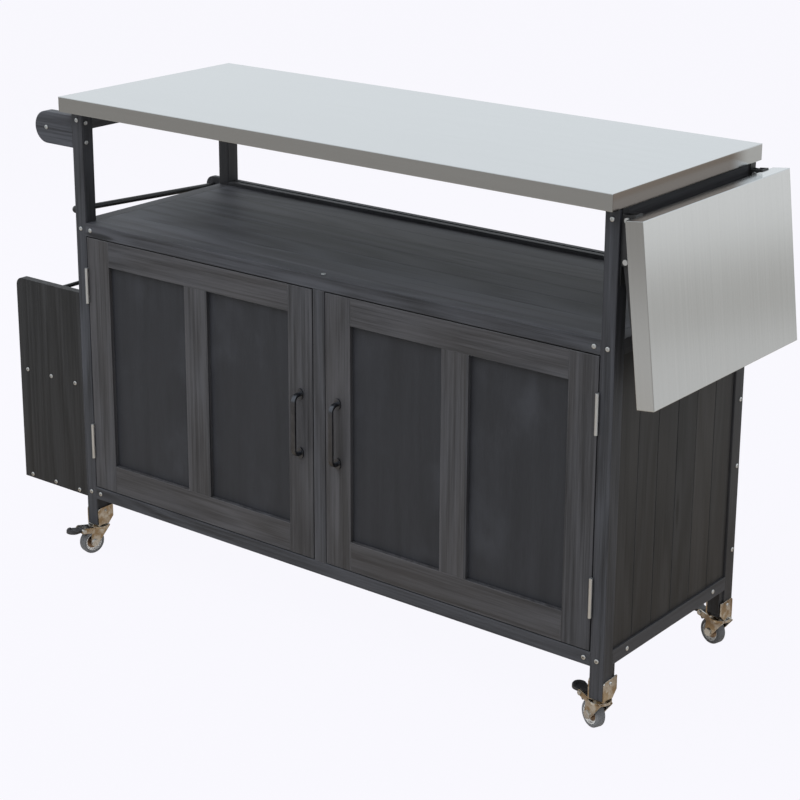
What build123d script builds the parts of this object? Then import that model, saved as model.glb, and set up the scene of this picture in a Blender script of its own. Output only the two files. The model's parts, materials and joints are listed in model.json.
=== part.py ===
"""Rolling outdoor kitchen cart: black-stained timber cabinet under a folded steel worktop.

Millimetres, +Z up, X along the cart, front face towards -Y.  The origin lies on the floor
under the middle of the whole cart, side rack and hanging drop leaf included.
"""

import os
from math import atan2, cos, hypot, radians, sin, sqrt

from build123d import *

# Worktop and height
top_length = 1200
top_depth = 460
top_height = 910
top_fold = 28
sheet = 1.2
sheet_radius = 1.0
overhang_front = 26
overhang_back = 12
overhang_left = 5
overhang_right = 3

# Timber frame
post_width = 26
post_depth = 28
post_foot = 60
rail_base = 116
rail_height = 25
top_rail_height = 36
shelf_top = 670
shelf_board = 12
shelf_boards = 6
board_seam = 0.2
board_round = 0.5
board_end_gap = 1
shelf_tongue = 6
shelf_tongue_length = 10
ledge_rise = 7
ledge_groove = 6
ledge_groove_depth = 4
plank = 10
plank_recess = 4
plank_seam = 0.4
plank_chamfer = 1.5
side_planks_count = 6
back_planks_count = 18
floor_panel = 8
centre_post_width = 26
edge_round = 1.2
fit = 0.3

# Doors
door_thickness = 20
door_gap = 2
stile = 55
door_top_rail = 49
door_bottom_rail = 54
door_panel = 5
panel_recess = 8
panel_tongue = 6
joint_line = 0.3

# Door hinges
hinge_length = 69
hinge_inset = 94
knuckle_radius = 3
hinge_pin_radius = 1.5
hinge_leaf = 0.8
hinge_leaf_width = 14
hinge_end_knuckle = 20
pin_clearance = 0.05

# Bar handles
handle_length = 110
handle_reach = 22
handle_bend = 11
handle_width = 9
handle_thickness = 6
handle_round = 2
handle_foot = 3
handle_foot_length = 20
handle_foot_width = 14

# Door catches
catch_width = 40
catch_depth = 12
catch_height = 14

# Push handle on the left end
arm_length = 100
arm_height = 61
arm_thickness = 20
arm_drop = 11
grip_radius = 12

# Paper towel rod
towel_arm_length = 62
towel_arm_height = 37
towel_arm_thickness = 10
towel_arm_lap = 45
towel_arm_rise = 3.5
towel_rod_radius = 5.5
towel_rod_length = 380
towel_rod_seat = 7
towel_rod_lift = 3.4
towel_knob_radius = 7.5

# Side rack
rack_reach = 176
rack_panel = 15
rack_top = 530
rack_corner = 16
rack_shelf = 15
rack_shelf_height = 344
rack_rod_radius = 4
rack_rod_inset = 20
rack_rod_rise = 65
rack_top_rod_drop = 15

# Drop leaf and its folding brackets
leaf_length = 293
leaf_fold = 31
leaf_gap = 3
leaf_tilt = 6.5
pivot_out = 12
arm_seat = 14
bracket_steel = 2
bracket_inset = 14
ear_gap = 12
running_gap = 0.5
pivot_pin_radius = 3
pivot_head_radius = 4.5
pivot_head = 3
channel_length = 262
channel_start = -8
channel_lip = 1.5
strut_drop = 66
strut_pin_out = 10
strut_length = 150
strut_depth = 14
strut_roller_radius = 5
plate_above = 16
plate_below = 104

# Swivel casters
wheel_radius = 24
wheel_width = 17
tyre_depth = 6.5
tyre_round = 4
trail = 16
axle_radius = 3.5
axle_head = 2.5
hub_radius = 7
hub_proud = 0.5
rim_dish = 4
fork_steel = 2
fork_plate = 2.5
fork_play = 1.5
fork_end = 8
fork_heel = 7
crown_radius = 20
crown_wall = 1.5
crown_rim = 1.8
brake_back = 23
brake_rise = 29
brake_pin_radius = 2
brake_barrel_radius = 4.2
brake_ear = 5.5
shoe_radius = 2.5
shoe_gap = 0.6
brake_press = 12
pedal_reach = 31
pedal_radius = 13
pedal_neck = 13
pedal_plate = 5
pedal_lift = 4
pedal_tab = 2
pedal_tab_width = 5
socket_steel = 2.5
socket_height = 34
socket_round = 6
socket_over = 12
leg_block_recess = 3
race_radius = 13
race_height = 2.8
race_gap = 0.2
kingpin_radius = 5
kingpin_head = 2.7
kingpin_head_radius = 8
headings = {"front_left": 257, "front_right": 158, "back_left": 200, "back_right": 165}

# Screw heads
screw_radius = 4
screw_head = 1.6
screw_inset = 12
socket_screw_radius = 3
socket_screw_drop = 8
side_screw_inset = 43
rack_screw_inset = 21
plank_screw_inset = 9
plank_screw_rises = [46, 203, 325]

# Places along X, with the whole cart centred on the origin
leaf_reach = (pivot_out - overhang_right
              + (leaf_length + leaf_gap + overhang_right - pivot_out) * sin(radians(leaf_tilt))
              + (arm_seat + leaf_fold) * cos(radians(leaf_tilt)))
shift = ((rack_reach - overhang_left) - leaf_reach) / 2
top_left = shift - top_length / 2
top_right = shift + top_length / 2
x_left = top_left + overhang_left
x_right = top_right - overhang_right
x_left_in = x_left + post_width
x_right_in = x_right - post_width
x_mid = (x_left + x_right) / 2

# Places along Y, likewise: the front left brake pedal reaches out in front of the worktop
brake_x = trail + brake_back
pedal_turn = radians(headings["front_left"])
pedal_slope = radians(pedal_lift)
pedal_middle = brake_x + (pedal_reach - pedal_radius) * cos(pedal_slope) + pedal_plate / 2 * sin(pedal_slope)
pedal_front = (-pedal_middle * sin(pedal_turn)
               + pedal_radius * hypot(sin(pedal_turn) * cos(pedal_slope), cos(pedal_turn)))
drift = max(0, pedal_front - post_depth / 2 - overhang_front) / 2
top_front = drift - top_depth / 2
top_back = drift + top_depth / 2
y_front = top_front + overhang_front
y_back = top_back - overhang_back
y_front_in = y_front + post_depth
y_back_in = y_back - post_depth

# Heights
frame_top = top_height - top_fold
rail_top = rail_base + rail_height
shelf_under = shelf_top - rail_height
door_low = rail_top + door_gap
door_high = shelf_under - door_gap


def bar(x, y, z, mode=Mode.ADD):
    """Box between the low and high value along each axis."""
    with Locations(((x[0] + x[1]) / 2, (y[0] + y[1]) / 2, (z[0] + z[1]) / 2)):
        Box(x[1] - x[0], y[1] - y[0], z[1] - z[0], mode=mode)


def rod(start, direction, radius, length, mode=Mode.ADD):
    """Round bar from a point along a direction."""
    with BuildSketch(Plane(origin=start, z_dir=direction)) as section:
        Circle(radius)
    extrude(section.sketch, amount=length, mode=mode)


def spread(low, high, count, seam):
    """Low and high edges of equal boards laid side by side with a seam between them."""
    pitch = (high - low) / count
    return [(low + i * pitch + seam / 2, low + (i + 1) * pitch - seam / 2) for i in range(count)]


def save(name, piece):
    """Label a finished piece and write it to its own file."""
    piece.label = name
    export_step(piece, f"parts/{name}.step")


os.makedirs("parts", exist_ok=True)

# Worktop: a folded steel pan over a timber core
with BuildPart() as worktop_skin:
    bar((top_left, top_right), (top_front, top_back), (frame_top, top_height))
    fillet(worktop_skin.faces().sort_by(Axis.Z)[-1].edges(), sheet_radius)
    bar((top_left + sheet, top_right - sheet), (top_front + sheet, top_back - sheet),
        (frame_top, top_height - sheet), Mode.SUBTRACT)
save("worktop_skin", worktop_skin.part)

with BuildPart() as worktop_core:
    bar((top_left + sheet + fit, top_right - sheet - fit),
        (top_front + sheet + fit, top_back - sheet - fit), (frame_top, top_height - sheet))
save("worktop_core", worktop_core.part)

# Corner posts
post_spans = [(x_left, x_left_in), (x_right_in, x_right)]
with BuildPart() as front_posts:
    for span in post_spans:
        bar(span, (y_front, y_front_in), (post_foot, frame_top))
    fillet(front_posts.edges().filter_by(Axis.Z), edge_round)
save("front_posts", front_posts.part)

with BuildPart() as back_posts:
    for span in post_spans:
        bar(span, (y_back_in, y_back), (post_foot, frame_top))
    fillet(back_posts.edges().filter_by(Axis.Z), edge_round)
save("back_posts", back_posts.part)

# Rails from front to back: under the worktop, at the shelf and at the foot
cross_heights = [
    (frame_top - top_rail_height, frame_top),
    (shelf_under, shelf_top),
    (rail_base, rail_top),
]
with BuildPart() as cross_rails:
    for span in post_spans:
        for height in cross_heights:
            bar(span, (y_front_in, y_back_in), height)
    bar((x_left_in - shelf_tongue_length, x_right_in + shelf_tongue_length), (y_front_in, y_back_in),
        (shelf_top - shelf_board, shelf_top - shelf_board + shelf_tongue + fit), Mode.SUBTRACT)
    bar((x_mid - centre_post_width / 2, x_mid + centre_post_width / 2), (y_front_in, y_back_in),
        (shelf_under, shelf_top - shelf_board))
save("cross_rails", cross_rails.part)

# Rails along the cart
with BuildPart() as long_rails:
    for low, high in ((rail_base, rail_top), (shelf_under, shelf_top)):
        bar((x_left_in, x_right_in), (y_front, y_front_in), (low, high))
    fillet(long_rails.edges().filter_by(Axis.X).group_by(Axis.Y)[0], edge_round)
    bar((x_left_in, x_right_in), (y_back_in, y_back), (rail_base, rail_top))
save("long_rails", long_rails.part)

with BuildPart() as back_ledge:
    bar((x_left_in, x_right_in), (y_back_in, y_back), (shelf_under, shelf_top + ledge_rise))
    groove_low = (y_back_in + y_back - ledge_groove) / 2
    bar((x_left_in, x_right_in), (groove_low, groove_low + ledge_groove),
        (shelf_top + ledge_rise - ledge_groove_depth, shelf_top + ledge_rise), Mode.SUBTRACT)
save("back_ledge", back_ledge.part)

with BuildPart() as shelf_slats:
    for span in spread(y_front_in, y_back_in, shelf_boards, board_seam):
        bar((x_left_in + board_end_gap, x_right_in - board_end_gap), span,
            (shelf_top - shelf_board, shelf_top))
    fillet(shelf_slats.edges().filter_by(Axis.X).group_by(Axis.Z)[-1], board_round)
    for span in spread(y_front_in, y_back_in, shelf_boards, board_seam):
        bar((x_left_in - shelf_tongue_length + fit, x_right_in + shelf_tongue_length - fit), span,
            (shelf_top - shelf_board, shelf_top - shelf_board + shelf_tongue))
save("shelf_slats", shelf_slats.part)

with BuildPart() as centre_post:
    bar((x_mid - centre_post_width / 2, x_mid + centre_post_width / 2),
        (y_front, y_front + door_thickness), (rail_top, shelf_under))
    fillet(centre_post.edges().filter_by(Axis.Z).group_by(Axis.Y)[0], edge_round)
save("centre_post", centre_post.part)

# Tongue and groove cladding, each board with eased edges
plank_left = (x_left + plank_recess, x_left + plank_recess + plank)
plank_right = (x_right - plank_recess - plank, x_right - plank_recess)
plank_back = (y_back - plank_recess - plank, y_back - plank_recess)
with BuildPart() as side_planks:
    for side in (plank_left, plank_right):
        for span in spread(y_front_in, y_back_in, side_planks_count, plank_seam):
            bar(side, span, (rail_top, shelf_under))
    chamfer(side_planks.edges().filter_by(Axis.Z), plank_chamfer)
save("side_planks", side_planks.part)

with BuildPart() as back_planks:
    for span in spread(x_left_in, x_right_in, back_planks_count, plank_seam):
        bar(span, plank_back, (rail_top, shelf_under))
    chamfer(back_planks.edges().filter_by(Axis.Z), plank_chamfer)
save("back_planks", back_planks.part)

# Cabinet floor: its front edge also stops the doors
with BuildPart() as cabinet_floor:
    bar((x_left_in, x_right_in), (y_front + door_thickness + fit, plank_back[0] - fit),
        (rail_top, rail_top + floor_panel))
save("cabinet_floor", cabinet_floor.part)

# Magnetic catches behind the shelf's front rail, one for each door
with BuildPart() as door_catches:
    for side in (-1, 1):
        middle = x_mid + side * (centre_post_width / 2 + door_gap + stile / 2)
        bar((middle - catch_width / 2, middle + catch_width / 2),
            (y_front + door_thickness + fit, y_front + door_thickness + fit + catch_depth),
            (shelf_under - catch_height, shelf_under))
save("door_catches", door_catches.part)

# Door hinges: the pin stands just in front of the post, in line with the door gap
hinge_y = y_front - knuckle_radius - fit
hinge_heights = [door_low + hinge_inset, door_high - hinge_inset]
pin_bore = hinge_pin_radius + pin_clearance


def hinge_leaves(x, side, fixed):
    """Leaf plates and knuckles of one door's two hinges; side is -1 towards the post."""
    plate = sorted((x + side * (door_gap / 2 - hinge_leaf), x + side * door_gap / 2))
    for middle in hinge_heights:
        low, high = middle - hinge_length / 2, middle + hinge_length / 2
        bar(plate, (hinge_y + knuckle_radius + fit, hinge_y + knuckle_radius + fit + hinge_leaf_width),
            (low, high))
        ends = [(low, low + hinge_end_knuckle), (high - hinge_end_knuckle, high)]
        middle_knuckle = [(low + hinge_end_knuckle + fit, high - hinge_end_knuckle - fit)]
        for knuckle_low, knuckle_high in ends if fixed else middle_knuckle:
            rod((x, hinge_y, knuckle_low), (0, 0, 1), knuckle_radius, knuckle_high - knuckle_low)
            bar(plate, (hinge_y + pin_bore, hinge_y + knuckle_radius + fit), (knuckle_low, knuckle_high))
        rod((x, hinge_y, low), (0, 0, 1), pin_bore, hinge_length, Mode.SUBTRACT)


hinge_left = x_left_in + door_gap / 2
hinge_right = x_right_in - door_gap / 2
with BuildPart() as hinge_post_leaves:
    hinge_leaves(hinge_left, -1, True)
    hinge_leaves(hinge_right, 1, True)
save("hinge_post_leaves", hinge_post_leaves.part)

with BuildPart() as hinge_pins:
    for x in (hinge_left, hinge_right):
        for middle in hinge_heights:
            rod((x, hinge_y, middle - hinge_length / 2), (0, 0, 1), hinge_pin_radius, hinge_length)
save("hinge_pins", hinge_pins.part)

# Doors: stiles, rails and a middle stile around a grooved-in panel
door_spans = {
    "left": (x_left_in + door_gap, x_mid - centre_post_width / 2 - door_gap),
    "right": (x_mid + centre_post_width / 2 + door_gap, x_right_in - door_gap),
}
door_y = (y_front, y_front + door_thickness)
panel_y = (y_front + panel_recess, y_front + panel_recess + door_panel)
opening_low = door_low + door_bottom_rail
opening_high = door_high - door_top_rail
for name, (low, high) in door_spans.items():
    panel_x = (low + stile - panel_tongue, high - stile + panel_tongue)
    panel_z = (opening_low - panel_tongue, opening_high + panel_tongue)
    middle = (low + high) / 2
    with BuildPart() as door_frame:
        for span in ((low, low + stile), (high - stile, high)):
            bar(span, door_y, (door_low, door_high))
        rail_x = (low + stile + joint_line, high - stile - joint_line)
        for rail_z in ((door_low, opening_low), (opening_high, door_high)):
            bar(rail_x, door_y, rail_z)
        fillet(door_frame.edges().filter_by(Axis.Z).group_by(Axis.Y)[0], edge_round / 2)
        bar((panel_x[0] - fit, panel_x[1] + fit), (panel_y[0] - pin_clearance, y_front + door_thickness),
            (panel_z[0] - fit, panel_z[1] + fit), Mode.SUBTRACT)
        bar((middle - stile / 2, middle + stile / 2), (y_front, panel_y[0] - pin_clearance),
            (opening_low + joint_line, opening_high - joint_line))
    save(f"{name}_door_frame", door_frame.part)
    with BuildPart() as panel:
        bar(panel_x, panel_y, panel_z)
    save(f"{name}_door_panel", panel.part)
    hinge_x, side = (hinge_left, 1) if name == "left" else (hinge_right, -1)
    with BuildPart() as leaves:
        hinge_leaves(hinge_x, side, False)
    save(f"{name}_door_hinge_leaves", leaves.part)
    handle_x = high - stile / 2 if name == "left" else low + stile / 2
    handle_z = (door_low + door_high) / 2
    handle_plane = Plane(origin=(handle_x, y_front, handle_z), x_dir=(0, 0, 1), z_dir=(-1, 0, 0))
    bar_out = handle_thickness / 2 - handle_reach
    with BuildPart() as handle:
        with BuildLine(handle_plane):
            bow = FilletPolyline(
                (-handle_length / 2, 0),
                (-handle_length / 2, bar_out),
                (handle_length / 2, bar_out),
                (handle_length / 2, 0),
                radius=handle_bend)
        with BuildSketch(Plane(origin=bow @ 0, x_dir=(1, 0, 0), z_dir=bow % 0)):
            RectangleRounded(handle_width, handle_thickness, handle_round)
        sweep(path=bow)
        for end in (-1, 1):
            seat = Plane(origin=(handle_x, y_front, handle_z + end * handle_length / 2),
                         x_dir=(0, 0, 1), z_dir=(0, -1, 0))
            with BuildSketch(seat) as foot:
                Ellipse(handle_foot_length / 2, handle_foot_width / 2)
            extrude(foot.sketch, amount=handle_foot)
    save(f"{name}_door_handle", handle.part)

# Push handle: two round-ended arms on the left posts and a grip between them
arm_top = frame_top - arm_drop
grip_x = x_left - arm_length + arm_height / 2
grip_z = arm_top - arm_height / 2
arm_fronts = [y_front, y_back - arm_thickness]
with BuildPart() as handle_arms:
    for front in arm_fronts:
        with BuildSketch(Plane.XZ.offset(-front)) as outline:
            with Locations((grip_x, grip_z)):
                Circle(arm_height / 2)
            with Locations(((grip_x + x_left) / 2, grip_z)):
                Rectangle(x_left - grip_x, arm_height)
        extrude(amount=-arm_thickness)
    fillet(handle_arms.edges().filter_by(GeomType.CIRCLE), edge_round)
save("handle_arms", handle_arms.part)

with BuildPart() as handle_grip:
    rod((grip_x, y_front + arm_thickness, grip_z), (0, 1, 0), grip_radius,
        y_back - y_front - 2 * arm_thickness)
save("handle_grip", handle_grip.part)

# Paper towel rod: a round-ended arm behind the back left post carries a rod that rises to its free end
towel_x = x_left - towel_arm_length + towel_arm_height / 2
towel_z = shelf_top + towel_arm_rise - towel_arm_height / 2
towel_root = (towel_x, y_back, towel_z)
towel_along = (0, -cos(radians(towel_rod_lift)), sin(radians(towel_rod_lift)))
towel_seat = tuple(p - towel_rod_seat * d for p, d in zip(towel_root, towel_along))
towel_arm_end = x_left_in + towel_arm_lap
with BuildPart() as towel_arm:
    with BuildSketch(Plane.XZ.offset(-y_back)) as outline:
        with Locations((towel_x, towel_z)):
            Circle(towel_arm_height / 2)
        with Locations(((towel_x + towel_arm_end) / 2, towel_z)):
            Rectangle(towel_arm_end - towel_x, towel_arm_height)
    extrude(amount=-towel_arm_thickness)
    rod(towel_seat, towel_along, towel_rod_radius + pin_clearance, 2 * towel_rod_seat, Mode.SUBTRACT)
save("towel_arm", towel_arm.part)

with BuildPart() as towel_rod:
    rod(towel_seat, towel_along, towel_rod_radius, towel_rod_length + towel_rod_seat)
    towel_end = tuple(p + towel_rod_length * d for p, d in zip(towel_root, towel_along))
    with Locations(towel_end):
        Sphere(towel_knob_radius)
save("towel_rod", towel_rod.part)

# Side rack: two end panels, two shelves and the rods that keep things in
rack_out = x_left - rack_reach
rack_fronts = [y_front, y_back - rack_panel]
rack_in = (y_front + rack_panel, y_back - rack_panel)
with BuildPart() as rack_panels:
    for front in rack_fronts:
        bar((rack_out, x_left), (front, front + rack_panel), (rail_base, rack_top))
    outer_corners = rack_panels.edges().filter_by(Axis.Y).group_by(Axis.X)[0].group_by(Axis.Z)[-1]
    fillet(outer_corners, rack_corner)
save("rack_panels", rack_panels.part)

rack_shelf_middles = [rail_base + rack_shelf / 2, rack_shelf_height]
with BuildPart() as rack_shelves:
    for middle in rack_shelf_middles:
        bar((rack_out, x_left), rack_in, (middle - rack_shelf / 2, middle + rack_shelf / 2))
save("rack_shelves", rack_shelves.part)

rack_rods_at = [
    (rack_out + rack_rod_inset, rack_shelf_height + rack_rod_rise),
    (x_left - rack_rod_inset, rack_shelf_height + rack_rod_rise),
    (x_left - rack_reach / 2, rack_top - rack_top_rod_drop),
]
with BuildPart() as rack_rods:
    for x, z in rack_rods_at:
        rod((x, rack_in[0], z), (0, 1, 0), rack_rod_radius, rack_in[1] - rack_in[0])
save("rack_rods", rack_rods.part)

# Folding brackets on the right posts: a wall plate with two ears, a channel under the leaf, a strut
pivot_x = x_right + pivot_out
pivot_z = frame_top + top_fold - leaf_fold - arm_seat
strut_x = x_right + strut_pin_out
strut_z = pivot_z - strut_drop
ear_out = ear_gap / 2 + bracket_steel
channel_in = ear_out + running_gap
channel_out = channel_in + bracket_steel
bracket_middles = [y_front + bracket_inset, y_back - bracket_inset]
pivot_bore = pivot_pin_radius + pin_clearance
ear_radius = pivot_pin_radius + 2 * bracket_steel
with BuildPart() as bracket_wall_plates:
    for middle in bracket_middles:
        bar((x_right, x_right + bracket_steel), (middle - ear_out, middle + ear_out),
            (pivot_z - plate_below, pivot_z + plate_above))
        for side in (-1, 1):
            ear_low = middle + side * ear_out if side < 0 else middle + ear_gap / 2
            with BuildSketch(Plane.XZ.offset(-ear_low)) as ear:
                with Locations((pivot_x, pivot_z), (strut_x, strut_z)):
                    Circle(ear_radius)
                with Locations((x_right + bracket_steel / 2, (pivot_z + strut_z) / 2)):
                    Rectangle(bracket_steel, pivot_z - strut_z + 2 * ear_radius)
                make_hull()
            extrude(amount=-bracket_steel)
        for x, z in ((pivot_x, pivot_z), (strut_x, strut_z)):
            rod((x, middle - ear_out, z), (0, 1, 0), pivot_bore, 2 * ear_out, Mode.SUBTRACT)
save("bracket_wall_plates", bracket_wall_plates.part)

with BuildPart() as bracket_pins:
    for middle in bracket_middles:
        for x, z, reach in ((pivot_x, pivot_z, channel_out + fit), (strut_x, strut_z, ear_out)):
            rod((x, middle - reach, z), (0, 1, 0), pivot_pin_radius, 2 * reach)
            rod((x, middle - reach, z), (0, -1, 0), pivot_head_radius, pivot_head)
            rod((x, middle + reach, z), (0, 1, 0), pivot_head_radius, pivot_head)
save("bracket_pins", bracket_pins.part)

# Drop leaf, hanging: x runs down the leaf from the pivot and z out through its steel face
tilt = radians(leaf_tilt)
leaf_down = (sin(tilt), 0, -cos(tilt))
leaf_plane = Plane(origin=(pivot_x, 0, pivot_z), x_dir=leaf_down, z_dir=(cos(tilt), 0, sin(tilt)))
leaf_out = Axis(leaf_plane.origin, leaf_plane.z_dir)
leaf_start = top_right + leaf_gap - pivot_x
leaf_x = (leaf_start, leaf_start + leaf_length)
leaf_face = arm_seat + leaf_fold
with BuildPart(leaf_plane) as leaf_skin:
    bar(leaf_x, (top_front, top_back), (arm_seat, leaf_face))
    fillet(leaf_skin.faces().sort_by(leaf_out)[-1].edges(), sheet_radius)
    bar((leaf_x[0] + sheet, leaf_x[1] - sheet), (top_front + sheet, top_back - sheet),
        (arm_seat, leaf_face - sheet), Mode.SUBTRACT)
save("leaf_skin", leaf_skin.part)

with BuildPart(leaf_plane) as leaf_core:
    bar((leaf_x[0] + sheet + fit, leaf_x[1] - sheet - fit),
        (top_front + sheet + fit, top_back - sheet - fit), (arm_seat, leaf_face - sheet))
save("leaf_core", leaf_core.part)

with BuildPart(leaf_plane) as leaf_channels:
    for middle in bracket_middles:
        bar((channel_start, channel_length), (middle - channel_out, middle + channel_out),
            (arm_seat - bracket_steel, arm_seat))
        for low in (middle - channel_out, middle + channel_in):
            bar((channel_start, channel_length), (low, low + bracket_steel), (-channel_lip, arm_seat))
            rod((pivot_x, low, pivot_z), (0, 1, 0), ear_radius, bracket_steel)
        rod((pivot_x, middle - channel_out, pivot_z), (0, 1, 0), pivot_bore, 2 * channel_out, Mode.SUBTRACT)
save("leaf_channels", leaf_channels.part)

# Struts hang from the wall plates and end on the channels' centre line
strut_dx = strut_x - pivot_x
strut_along = strut_drop * cos(tilt) + strut_dx * sin(tilt)
strut_tip = strut_along + sqrt(strut_along**2 - hypot(strut_dx, strut_drop) ** 2 + strut_length**2)
strut_angle = atan2(strut_tip * sin(tilt) - strut_dx, strut_tip * cos(tilt) - strut_drop)
strut_down = (sin(strut_angle), 0, -cos(strut_angle))
strut_half = ear_gap / 2 - running_gap
roller_half = channel_in - running_gap
with BuildPart() as leaf_struts:
    for middle in bracket_middles:
        pin = Vector(strut_x, middle, strut_z)
        tip = pin + strut_length * Vector(*strut_down)
        strut_middle = (pin + tip) / 2 + Vector(0, strut_half, 0)
        with BuildSketch(Plane(origin=strut_middle, x_dir=strut_down, z_dir=(0, -1, 0))):
            SlotCenterToCenter(strut_length, strut_depth)
        extrude(amount=2 * strut_half)
        rod(tip - Vector(0, roller_half, 0), (0, 1, 0), strut_roller_radius, 2 * roller_half)
        rod(pin - Vector(0, strut_half, 0), (0, 1, 0), pivot_bore, 2 * strut_half, Mode.SUBTRACT)
save("leaf_struts", leaf_struts.part)

# Caster sockets and kingpins under the posts
socket_low = post_foot - socket_steel
fork_top = socket_low - race_height
fork_low = fork_top - fork_plate
corners = {
    "front_left": ((x_left + x_left_in) / 2, (y_front + y_front_in) / 2),
    "front_right": ((x_right + x_right_in) / 2, (y_front + y_front_in) / 2),
    "back_left": ((x_left + x_left_in) / 2, (y_back + y_back_in) / 2),
    "back_right": ((x_right + x_right_in) / 2, (y_back + y_back_in) / 2),
}
cheek_in = post_width / 2 + pin_clearance
cheek_out = cheek_in + socket_steel
cheek_front = edge_round - post_depth / 2
cheek_back = post_depth / 2 + socket_over
kingpin_bore = kingpin_radius + pin_clearance
inward = {corner: 1 if corner.startswith("front") else -1 for corner in corners}
with BuildPart() as caster_sockets:
    for corner, (x, y) in corners.items():
        bar((x - cheek_out, x + cheek_out), (y + cheek_front, y - cheek_front), (socket_low, post_foot))
        for low in (x - cheek_out, x + cheek_in):
            with BuildSketch(Plane(origin=(low, y, socket_low), x_dir=(0, 1, 0), z_dir=(1, 0, 0))) as cheek:
                with BuildLine():
                    Polyline(
                        (inward[corner] * cheek_front, 0),
                        (inward[corner] * post_depth / 2, 0),
                        (inward[corner] * cheek_back, socket_over),
                        (inward[corner] * cheek_back, socket_steel + socket_height),
                        (inward[corner] * cheek_front, socket_steel + socket_height),
                        close=True)
                make_face()
                outer_top = max(cheek.vertices(), key=lambda spot: spot.Y - inward[corner] * spot.X)
                fillet(outer_top, socket_round)
            extrude(amount=socket_steel)
    for x, y in corners.values():
        rod((x, y, fork_top + race_gap), (0, 0, 1), race_radius, race_height - race_gap)
        rod((x, y, fork_top), (0, 0, 1), kingpin_bore, post_foot - fork_top, Mode.SUBTRACT)
save("caster_sockets", caster_sockets.part)

with BuildPart() as leg_blocks:
    for corner, (x, y) in corners.items():
        left_recess = leg_block_recess if x < x_mid else 0
        right_recess = leg_block_recess - left_recess
        near = y + inward[corner] * post_depth / 2
        far = y + inward[corner] * cheek_back
        bar((x - post_width / 2 + left_recess, x + post_width / 2 - right_recess), sorted((near, far)),
            (post_foot + socket_over, rail_base))
save("leg_blocks", leg_blocks.part)

with BuildPart() as caster_kingpins:
    for x, y in corners.values():
        rod((x, y, fork_low - pin_clearance), (0, 0, 1), kingpin_radius, post_foot - fork_low)
        rod((x, y, fork_low - pin_clearance), (0, 0, -1), kingpin_head_radius, kingpin_head)
save("caster_kingpins", caster_kingpins.part)

# One caster, with its swivel axis on the origin and the wheel trailing along +X
leg_in = wheel_width / 2 + hub_proud + fork_play
leg_out = leg_in + fork_steel
brake_z = wheel_radius + brake_rise
axle_bore = axle_radius + pin_clearance
brake_bore = brake_pin_radius + pin_clearance
rim_radius = wheel_radius - tyre_depth
with BuildPart() as caster_tyre:
    rod((trail, -wheel_width / 2, wheel_radius), (0, 1, 0), wheel_radius, wheel_width)
    fillet(caster_tyre.edges().filter_by(GeomType.CIRCLE), tyre_round)
    rod((trail, -wheel_width / 2, wheel_radius), (0, 1, 0), rim_radius, wheel_width, Mode.SUBTRACT)

with BuildPart() as caster_rim:
    rim_wide = wheel_width - 2 * hub_proud
    rod((trail, -rim_wide / 2, wheel_radius), (0, 1, 0), rim_radius - pin_clearance, rim_wide)
    for side in (-1, 1):
        rod((trail, side * rim_wide / 2, wheel_radius), (0, -side, 0), rim_radius - 2 * hub_proud, rim_dish,
            Mode.SUBTRACT)
    hub_wide = wheel_width + 2 * hub_proud
    rod((trail, -hub_wide / 2, wheel_radius), (0, 1, 0), hub_radius, hub_wide)
    rod((trail, -hub_wide / 2, wheel_radius), (0, 1, 0), axle_bore, hub_wide, Mode.SUBTRACT)

with BuildPart() as caster_fork:
    rod((0, 0, fork_low), (0, 0, 1), crown_radius, fork_plate + crown_rim)
    for low in (-leg_out, leg_in):
        with BuildSketch(Plane.XZ.offset(-low)) as leg:
            with Locations((trail, wheel_radius)):
                Circle(fork_end)
            with Locations(((trail + fork_heel - crown_radius) / 2, fork_top - fork_plate / 2)):
                Rectangle(trail + fork_heel + crown_radius - 2 * crown_wall, fork_plate)
            make_hull()
        extrude(leg.sketch, amount=-fork_steel)
        with BuildSketch(Plane.XZ.offset(-low)) as ear:
            with Locations((brake_x, brake_z), (trail, fork_top - brake_ear)):
                Circle(brake_ear)
            make_hull()
        extrude(ear.sketch, amount=-fork_steel)
    bar((0, trail), (-leg_out, leg_out), (fork_low, fork_top))
    rod((0, 0, fork_top), (0, 0, 1), crown_radius - crown_wall, crown_rim, Mode.SUBTRACT)
    rod((0, 0, fork_low), (0, 0, 1), kingpin_bore, fork_plate, Mode.SUBTRACT)
    rod((trail, -leg_out, wheel_radius), (0, 1, 0), axle_bore, 2 * leg_out, Mode.SUBTRACT)
    rod((brake_x, -leg_out, brake_z), (0, 1, 0), brake_bore, 2 * leg_out, Mode.SUBTRACT)

with BuildPart() as caster_bolts:
    for x, z, radius in ((trail, wheel_radius, axle_radius), (brake_x, brake_z, brake_pin_radius)):
        rod((x, -leg_out, z), (0, 1, 0), radius, 2 * leg_out)
        for side in (-1, 1):
            rod((x, side * leg_out, z), (0, side, 0), 2 * radius, axle_head)

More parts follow.
